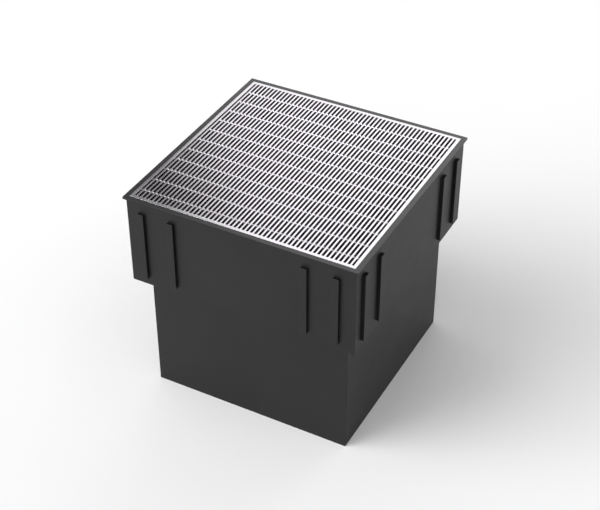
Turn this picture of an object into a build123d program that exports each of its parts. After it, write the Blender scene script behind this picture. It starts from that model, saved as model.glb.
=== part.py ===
from build123d import *
import os

# Square yard drain: a one-piece black polymer pit, open at the top, with a
# stainless wedge-wire grate that lies loose and flush inside its rim.
# Millimetres, +Z up. Origin: centre of the pit's base, on the underside.
# +X runs along the pit's front side to the right, +Y goes to the back.

# ---------------------------------------------------------------- dimensions
total_height = 303.6        # underside of the base to the top of the rim

flange_size = 320.0         # outer size of the thin rim flange
flange_thick = 2.4
flange_corner_r = 0.8

upper_size = 313.4          # outer size of the upper box
lower_size = 279.0          # outer size of the lower box (the sump)
step_z = 175.9              # underside of the step between the two boxes
box_corner_r = 0.8
wall = 2.9                  # side walls
floor_thick = 3.0
shelf_thick = 3.0           # horizontal web that joins the two boxes

# outside rails: two pairs of upright bars on every side of the upper box
rail_depth = 4.0
rail_width = 8.2
rail_top_z = total_height - 18.5
rail_bottom_z = total_height - 116.8
rail_pair_centre = 112.75   # pair centre, from the middle of the rail pattern
rail_pair_pitch = 42.0      # between the two rails of a pair
rail_pattern_shift = -1.8   # the pattern sits left of centre, seen from outside
rail_edge_r = 0.4

# inside seat: a ledge all round the upper wall that carries the grate frame
seat_reach = 9.0            # inward from the inner face of the upper wall
seat_thick = 4.0

# grate
grate_gap = 0.4             # clearance to the pit wall, all round
grate_depth = 20.0          # height of the frame bars
frame_bar_thick = 4.4
wire_count = 53
wire_pitch = 5.586
wire_top = 2.5              # flat top of each wedge wire
wire_foot = 0.9             # flat foot that sits on the support bars
wire_height = 4.1
bar_count = 11              # support bars, on edge under the wires
bar_pitch = 26.0
bar_thick = 2.5

# ------------------------------------------------------------ derived values
H = total_height
half_flange = flange_size / 2
half_upper = upper_size / 2
half_lower = lower_size / 2
in_upper = half_upper - wall
in_lower = half_lower - wall
shelf_top = step_z + shelf_thick
seat_z = H - grate_depth
half_grate = in_upper - grate_gap
half_field = half_grate - frame_bar_thick
half_throat = in_upper - seat_reach


def slab(size_x, size_y, z0, z1, r=0.0):
    """Upright prism, centred on Z, with rounded vertical corners if r > 0."""
    face = RectangleRounded(size_x, size_y, r) if r > 0 else Rectangle(size_x, size_y)
    return Pos(0, 0, z0) * extrude(face, z1 - z0)


def block(x0, x1, y0, y1, z0, z1):
    """Plain box between two corners."""
    return Pos((x0 + x1) / 2, (y0 + y1) / 2, (z0 + z1) / 2) * Box(
        x1 - x0, y1 - y0, z1 - z0
    )


# ------------------------------------------------------------------ pit body
def make_pit():
    body = slab(lower_size, lower_size, 0, step_z + 1.0, box_corner_r)
    body += slab(upper_size, upper_size, step_z, H, box_corner_r)
    body += slab(flange_size, flange_size, H - flange_thick, H, flange_corner_r)

    # outside rails, the same pattern turned to each of the four sides
    rails = []
    for pair in (-rail_pair_centre, rail_pair_centre):
        for side in (-rail_pair_pitch / 2, rail_pair_pitch / 2):
            x = rail_pattern_shift + pair + side
            rail = block(
                x - rail_width / 2,
                x + rail_width / 2,
                -half_upper - rail_depth,
                -half_upper + 0.5,
                rail_bottom_z,
                rail_top_z,
            )
            front = rail.faces().sort_by(Axis.Y)[0]
            rails.append(fillet(front.edges(), rail_edge_r))
    for turn in (0, 90, 180, 270):
        for rail in rails:
            body += Rot(0, 0, turn) * rail

    # hollow: sump below the shelf, wide chamber above it, then the narrower
    # throat inside the seat ledge, and the recess for the grate at the top
    body -= slab(2 * in_lower, 2 * in_lower, floor_thick, shelf_top + 1.0)
    body -= slab(2 * in_upper, 2 * in_upper, shelf_top, seat_z - seat_thick)
    body -= slab(2 * half_throat, 2 * half_throat, seat_z - seat_thick - 1.0, seat_z + 1.0)
    body -= slab(2 * in_upper, 2 * in_upper, seat_z, H + 1.0)
    return body


# --------------------------------------------------------------- grate frame
def make_frame_bar(turn):
    """Flat bar on edge with mitred ends; turn 0 is the front (-Y) bar."""
    outline = Polygon(
        (-half_grate, -half_grate),
        (half_grate, -half_grate),
        (half_field, -half_field),
        (-half_field, -half_field),
        align=None,
    )
    bar = Pos(0, 0, seat_z) * extrude(outline, grate_depth)
    return Rot(0, 0, turn) * bar


# --------------------------------------------------------------- wedge wires
def make_wire(x):
    """Wedge-section wire along Y: wide flat top, narrow foot."""
    section = Polygon(
        (x - wire_top / 2, H),
        (x - wire_foot / 2, H - wire_height),
        (x + wire_foot / 2, H - wire_height),
        (x + wire_top / 2, H),
        align=None,
    )
    # the section is drawn in X and Z and pushed along Y
    placed = Plane(origin=(0, half_field, 0), x_dir=(1, 0, 0), z_dir=(0, -1, 0)) * section
    return extrude(placed, 2 * half_field, dir=(0, -1, 0))


# -------------------------------------------------------------- support bars
def make_support_bars():
    bars = []
    for i in range(bar_count):
        y = (i - (bar_count - 1) / 2) * bar_pitch
        bars.append(
            block(
                -half_field,
                half_field,
                y - bar_thick / 2,
                y + bar_thick / 2,
                seat_z,
                H - wire_height,
            )
        )
    return Compound(children=bars)


os.makedirs("parts", exist_ok=True)

nodes = {"pit_body": make_pit()}
for name, turn in (("front", 0), ("right", 90), ("back", 180), ("left", 270)):
    nodes["frame_bar_" + name] = make_frame_bar(turn)
for n in range(wire_count):
    nodes["wedge_wire_%02d" % (n + 1)] = make_wire(
        (n - (wire_count - 1) / 2) * wire_pitch
    )
nodes["support_bars"] = make_support_bars()

for name, shape in nodes.items():
    export_step(shape, "parts/%s.step" % name)
    if name in ("pit_body", "support_bars") or name.startswith("frame"):
        print(name, round(shape.volume, 1), shape.bounding_box())
print(len(nodes), "nodes")
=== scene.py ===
import math

import bpy
from mathutils import Matrix, Vector

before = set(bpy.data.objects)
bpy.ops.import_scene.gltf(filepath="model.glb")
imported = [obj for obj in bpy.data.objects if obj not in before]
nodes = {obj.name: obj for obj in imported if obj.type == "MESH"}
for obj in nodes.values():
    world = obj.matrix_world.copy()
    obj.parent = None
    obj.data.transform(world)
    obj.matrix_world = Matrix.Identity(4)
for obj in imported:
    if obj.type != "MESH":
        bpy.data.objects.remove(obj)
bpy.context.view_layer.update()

scene = bpy.context.scene
scene.view_settings.view_transform = "Standard"
scene.view_settings.look = "None"
scene.view_settings.exposure = 0.0
scene.view_settings.gamma = 1.0

TOP = 0.3036          # top of the rim and of the grate
PITCH = 0.005586      # between wedge wires
WIRES = 53


# ------------------------------------------------------------------ camera
def make_camera():
    cam = bpy.data.cameras.new("camera")
    cam.sensor_width = 36.0
    cam.lens = 1415.1 * 36.0 / 600.0
    cam.clip_start = 0.05
    cam.clip_end = 60.0
    ob = bpy.data.objects.new("camera", cam)
    scene.collection.objects.link(ob)
    yaw, pitch, roll = math.radians(28.137), math.radians(37.638), math.radians(-0.1)
    fwd = Vector((-math.sin(yaw) * math.cos(pitch), math.cos(yaw) * math.cos(pitch), -math.sin(pitch)))
    right = Vector((math.cos(yaw), math.sin(yaw), 0.0))
    up = right.cross(fwd)
    r2 = right * math.cos(roll) + up * math.sin(roll)
    u2 = up * math.cos(roll) - right * math.sin(roll)
    ob.matrix_world = Matrix((
        (r2.x, u2.x, -fwd.x, 0.694),
        (r2.y, u2.y, -fwd.y, -1.298),
        (r2.z, u2.z, -fwd.z, 1.2986),
        (0.0, 0.0, 0.0, 1.0),
    ))
    scene.camera = ob


make_camera()


# --------------------------------------------------------------- materials
class Graph:
    """Small helper to write a shader tree."""

    def __init__(self, name):
        self.mat = bpy.data.materials.new(name)
        self.mat.use_nodes = True
        self.tree = self.mat.node_tree
        self.tree.nodes.clear()
        self.out = self.node("ShaderNodeOutputMaterial")
        self.bsdf = self.node("ShaderNodeBsdfPrincipled")
        self.link(self.bsdf.outputs["BSDF"], self.out.inputs["Surface"])
        self.coord = self.node("ShaderNodeTexCoord").outputs["Object"]

    def node(self, kind, **settings):
        n = self.tree.nodes.new(kind)
        for key, value in settings.items():
            setattr(n, key, value)
        return n

    def link(self, a, b):
        self.tree.links.new(a, b)

    def put(self, socket, value):
        if isinstance(value, bpy.types.NodeSocket):
            self.link(value, socket)
        else:
            socket.default_value = value

    def mapping(self, scale, rotation=(0, 0, 0), vector=None):
        m = self.node("ShaderNodeMapping")
        self.link(vector or self.coord, m.inputs["Vector"])
        m.inputs["Scale"].default_value = scale
        m.inputs["Rotation"].default_value = rotation
        return m.outputs["Vector"]

    def noise(self, scale, detail=2.0, rough=0.5, vector=None, distortion=0.0):
        n = self.node("ShaderNodeTexNoise")
        self.link(vector or self.coord, n.inputs["Vector"])
        n.inputs["Scale"].default_value = scale
        n.inputs["Detail"].default_value = detail
        n.inputs["Roughness"].default_value = rough
        n.inputs["Distortion"].default_value = distortion
        return n.outputs["Fac"]

    def voronoi(self, scale, feature="F1", vector=None, randomness=1.0):
        n = self.node("ShaderNodeTexVoronoi", feature=feature)
        self.link(vector or self.coord, n.inputs["Vector"])
        n.inputs["Scale"].default_value = scale
        n.inputs["Randomness"].default_value = randomness
        return n.outputs["Distance"]

    def remap(self, value, a0, a1, b0, b1, smooth=False):
        n = self.node("ShaderNodeMapRange")
        n.interpolation_type = "SMOOTHSTEP" if smooth else "LINEAR"
        self.put(n.inputs["Value"], value)
        n.inputs["From Min"].default_value = a0
        n.inputs["From Max"].default_value = a1
        n.inputs["To Min"].default_value = b0
        n.inputs["To Max"].default_value = b1
        return n.outputs["Result"]

    def math(self, op, a, b=None, clamp=False):
        n = self.node("ShaderNodeMath", operation=op, use_clamp=clamp)
        self.put(n.inputs[0], a)
        if b is not None:
            self.put(n.inputs[1], b)
        return n.outputs[0]

    def mix(self, fac, a, b):
        n = self.node("ShaderNodeMix", data_type="RGBA")
        self.put(n.inputs[0], fac)
        self.put(n.inputs[6], a)
        self.put(n.inputs[7], b)
        return n.outputs[2]

    def bump(self, height, distance, strength=1.0, normal=None):
        n = self.node("ShaderNodeBump")
        n.inputs["Strength"].default_value = strength
        n.inputs["Distance"].default_value = distance
        self.link(height, n.inputs["Height"])
        if normal is not None:
            self.link(normal, n.inputs["Normal"])
        return n.outputs["Normal"]

    def edge(self, radius, samples=6):
        """1 on sharp edges, 0 on flat faces."""
        bev = self.node("ShaderNodeBevel", samples=samples)
        bev.inputs["Radius"].default_value = radius
        geo = self.node("ShaderNodeNewGeometry")
        dot = self.node("ShaderNodeVectorMath", operation="DOT_PRODUCT")
        self.link(bev.outputs["Normal"], dot.inputs[0])
        self.link(geo.outputs["True Normal"], dot.inputs[1])
        return self.remap(dot.outputs["Value"], 0.995, 0.80, 0.0, 1.0)


BLACK = 0.0045
BLACK_ROUGH = 0.46


def black_polymer():
    g = Graph("black_polymer")
    b = g.bsdf
    # slow unevenness of the moulded skin, then its fine grain
    cloud = g.noise(9.0, 3.0, 0.55)
    patch = g.noise(38.0, 4.0, 0.6)
    grain = g.noise(1900.0, 2.0, 0.6)
    speck = g.noise(640.0, 2.0, 0.5)
    pebble = g.noise(1000.0, 1.0, 0.5)
    tone = g.math("ADD", g.math("MULTIPLY", cloud, 0.55), g.math("MULTIPLY", patch, 0.45))
    dark = (BLACK * 0.75, BLACK * 0.75, BLACK * 0.78, 1.0)
    light = (BLACK * 1.3, BLACK * 1.3, BLACK * 1.33, 1.0)
    col = g.mix(g.remap(tone, 0.35, 0.65, 0.0, 1.0), dark, light)
    dust = g.remap(speck, 0.66, 0.78, 0.0, 0.10)
    col = g.mix(dust, col, (0.030, 0.029, 0.028, 1.0))
    g.put(b.inputs["Base Color"], col)
    # the flat top of the rim is rubbed smoother than the walls
    sep = g.node("ShaderNodeSeparateXYZ")
    g.link(g.coord, sep.inputs[0])
    rim = g.remap(sep.outputs["Z"], TOP - 0.0006, TOP - 0.0002, 0.0, 1.0)
    g.put(b.inputs["Coat Weight"], g.math("MULTIPLY", rim, g.remap(tone, 0.3, 0.7, 0.58, 0.74)))
    b.inputs["Coat Roughness"].default_value = 0.17
    rough = g.math("ADD", g.remap(tone, 0.3, 0.7, BLACK_ROUGH - 0.035, BLACK_ROUGH + 0.035),
                   g.remap(grain, 0.3, 0.7, -0.03, 0.03))
    n = g.node("ShaderNodeMix", data_type="FLOAT")
    g.put(n.inputs[0], rim)
    g.put(n.inputs[2], rough)
    n.inputs[3].default_value = 0.24
    g.put(b.inputs["Roughness"], n.outputs[0])
    b.inputs["Specular IOR Level"].default_value = 0.32
    n1 = g.bump(grain, 0.00004, 0.35)
    n2 = g.bump(pebble, 0.00012, 0.50, normal=n1)
    n2 = g.bump(patch, 0.0004, 0.10, normal=n2)
    g.put(b.inputs["Normal"], n2)
    return g.mat


STEEL = (0.777, 0.749, 0.787)
STEEL_ROUGH = 0.15


def stainless(name, along, rough=STEEL_ROUGH, base=STEEL):
    """Drawn or rolled stainless; fine lines run along X or Y."""
    g = Graph(name)
    b = g.bsdf
    b.inputs["Metallic"].default_value = 1.0
    stretch = (14.0, 2600.0, 2600.0) if along == "x" else (2600.0, 14.0, 2600.0)
    lines = g.noise(1.0, 3.0, 0.6, vector=g.mapping(stretch))
    wide = (9.0, 420.0, 420.0) if along == "x" else (420.0, 9.0, 420.0)
    bands = g.noise(1.0, 2.0, 0.5, vector=g.mapping(wide))
    cloud = g.noise(26.0, 3.0, 0.55)
    tint = g.remap(g.math("ADD", g.math("MULTIPLY", lines, 0.5), g.math("MULTIPLY", cloud, 0.5)), 0.35, 0.65, 0.0, 1.0)
    lo = tuple(c * 0.96 for c in base) + (1.0,)
    hi = tuple(min(1.0, c * 1.03) for c in base) + (1.0,)
    g.put(b.inputs["Base Color"], g.mix(tint, lo, hi))
    r = g.math("ADD", g.remap(cloud, 0.3, 0.7, rough - 0.02, rough + 0.02), g.remap(lines, 0.3, 0.7, -0.03, 0.03))
    g.put(b.inputs["Roughness"], r)
    n1 = g.bump(lines, 0.00002, 0.12)
    n2 = g.bump(bands, 0.00003, 0.06, normal=n1)
    g.put(b.inputs["Normal"], n2)
    return g.mat


mat_black = black_polymer()
mat_x = stainless("steel_rolled_x", "x")
mat_y = stainless("steel_rolled_y", "y")
mat_wire = stainless("steel_wire", "y")
mat_support = stainless("steel_support", "x")


def dress(ob, mat):
    ob.data.materials.clear()
    ob.data.materials.append(mat)


def soften(ob, width, segments=2):
    # the faces come apart from one another, so they are joined first
    j = ob.modifiers.new("join_faces", "WELD")
    j.merge_threshold = 0.000002
    m = ob.modifiers.new("edge_round", "BEVEL")
    m.width = width
    m.segments = segments
    m.limit_method = "ANGLE"
    m.angle_limit = math.radians(35)
    m.harden_normals = False
    m.use_clamp_overlap = True
    w = ob.modifiers.new("face_normals", "WEIGHTED_NORMAL")
    w.keep_sharp = False
    w.weight = 100


for name, ob in nodes.items():
    if name == "pit_body":
        # its corners and rails are rounded in the CAD already
        dress(ob, mat_black)
    elif name in ("frame_bar_front", "frame_bar_back"):
        dress(ob, mat_x)
        soften(ob, 0.00012, 2)
    elif name in ("frame_bar_left", "frame_bar_right"):
        dress(ob, mat_y)
        soften(ob, 0.00012, 2)
    elif name == "support_bars":
        dress(ob, mat_support)
        soften(ob, 0.00008, 2)
    else:
        dress(ob, mat_wire)
        soften(ob, 0.00007, 2)


# ------------------------------------------------------------ floor, lights
def make_floor():
    me = bpy.data.meshes.new("floor")
    r = 9.0
    me.from_pydata([(-r, -r, 0), (r, -r, 0), (r, r, 0), (-r, r, 0)], [], [(0, 1, 2, 3)])
    ob = bpy.data.objects.new("floor", me)
    scene.collection.objects.link(ob)
    g = Graph("floor")
    cloud = g.noise(2.0, 2.0, 0.5)
    g.put(g.bsdf.inputs["Base Color"], g.mix(cloud, (0.91, 0.91, 0.91, 1), (0.93, 0.93, 0.93, 1)))
    g.bsdf.inputs["Roughness"].default_value = 0.9
    g.bsdf.inputs["Specular IOR Level"].default_value = 0.0
    me.materials.append(g.mat)
    return ob


make_floor()


# The studio: soft walls of light all round, one row a sector, given as
# azimuth from +X towards +Y, in degrees, and the brightness of its bands from
# the floor up. The bright side is the front left; a paler screen stands at the
# back, and a dark gap between the two gives the steel its gradient.
BANDS = (-10.0, 18.0, 30.0, 42.0, 56.0, 70.0)
SECTORS = [
    (-60.0, -20.0, (0.15, 0.28, 0.28, 1.12, 1.12)),
    (-20.0, 20.0, (0.20, 0.34, 0.34, 1.40, 1.40)),
    (20.0, 45.0, (0.20, 0.15, 0.15, 0.60, 0.60)),
    (45.0, 57.0, (0.20, 0.20, 0.50, 0.60, 0.30)),
    (57.0, 70.0, (0.22, 0.47, 1.38, 0.80, 0.18)),
    (70.0, 82.0, (0.25, 0.99, 3.20, 0.86, 0.12)),
    (82.0, 95.0, (0.28, 0.75, 1.45, 0.81, 0.20)),
    (95.0, 110.0, (0.32, 0.85, 1.75, 1.20, 0.50)),
    (110.0, 121.0, (0.41, 1.16, 1.34, 1.10, 0.45)),
    (121.0, 123.4, (0.41, 1.00, 1.13, 0.89, 0.45)),
    (123.4, 126.0, (1.56, 0.00, 0.06, 0.53, 0.47)),
    (126.0, 130.0, (1.56, 0.00, 0.25, 0.66, 0.47)),
    (130.0, 155.0, (1.56, 0.55, 0.64, 1.10, 0.47)),
    (155.0, 190.0, (2.14, 1.08, 1.08, 0.64, 0.64)),
    (190.0, 202.0, (4.14, 3.32, 2.40, 1.29, 1.29)),
    (202.0, 237.0, (6.94, 5.94, 4.90, 2.10, 2.10)),
    (237.0, 248.0, (4.92, 3.83, 3.11, 2.15, 2.15)),
    (248.0, 260.0, (2.77, 1.68, 1.37, 0.88, 0.88)),
    (260.0, 300.0, (1.42, 0.57, 0.74, 1.35, 1.35)),
]
SOFT = 1.5            # half width of the fade at each panel's edge


def make_world():
    world = bpy.data.worlds.new("studio")
    scene.world = world
    world.use_nodes = True
    t = world.node_tree
    t.nodes.clear()

    def math_node(op, a, b=None, c=None):
        n = t.nodes.new("ShaderNodeMath")
        n.operation = op
        for k, v in enumerate((a, b, c)):
            if v is None:
                continue
            if isinstance(v, bpy.types.NodeSocket):
                t.links.new(v, n.inputs[k])
            else:
                n.inputs[k].default_value = v
        return n.outputs[0]

    def step(value, a, b):
        n = t.nodes.new("ShaderNodeMapRange")
        n.interpolation_type = "SMOOTHSTEP"
        t.links.new(value, n.inputs["Value"])
        n.inputs["From Min"].default_value = math.radians(a)
        n.inputs["From Max"].default_value = math.radians(b)
        return n.outputs["Result"]

    co = t.nodes.new("ShaderNodeTexCoord")
    sep = t.nodes.new("ShaderNodeSeparateXYZ")
    t.links.new(co.outputs["Generated"], sep.inputs[0])
    az = math_node("ARCTAN2", sep.outputs["Y"], sep.outputs["X"])
    el = math_node("ARCSINE", sep.outputs["Z"])
    rise = [step(el, e - SOFT, e + SOFT) for e in BANDS]

    total = None
    for a0, a1, levels in SECTORS:
        column, below = None, 0.0
        for edge, level in zip(rise, levels + (0.0,)):
            if abs(level - below) > 1e-6:
                column = math_node("MULTIPLY_ADD", edge, level - below, 0.0 if column is None else column)
            below = level
        off = math_node("WRAP", math_node("SUBTRACT", az, math.radians((a0 + a1) / 2)), math.pi, -math.pi)
        half = (a1 - a0) / 2
        side = step(math_node("ABSOLUTE", off), half + SOFT, half - SOFT)
        total = math_node("MULTIPLY_ADD", side, column, 0.0 if total is None else total)

    # what the camera sees beyond the floor is the pale wall of the studio
    path = t.nodes.new("ShaderNodeLightPath")
    seen = math_node("ADD", math_node("MULTIPLY", total, math_node("SUBTRACT", 1.0, path.outputs["Is Camera Ray"])),
                     math_node("MULTIPLY", path.outputs["Is Camera Ray"], 0.97))
    bg = t.nodes.new("ShaderNodeBackground")
    bg.inputs["Color"].default_value = (1.0, 1.0, 1.0, 1.0)
    t.links.new(seen, bg.inputs["Strength"])
    out = t.nodes.new("ShaderNodeOutputWorld")
    t.links.new(bg.outputs["Background"], out.inputs["Surface"])
    world.cycles.sampling_method = "MANUAL"
    world.cycles.sample_map_resolution = 1024


make_world()
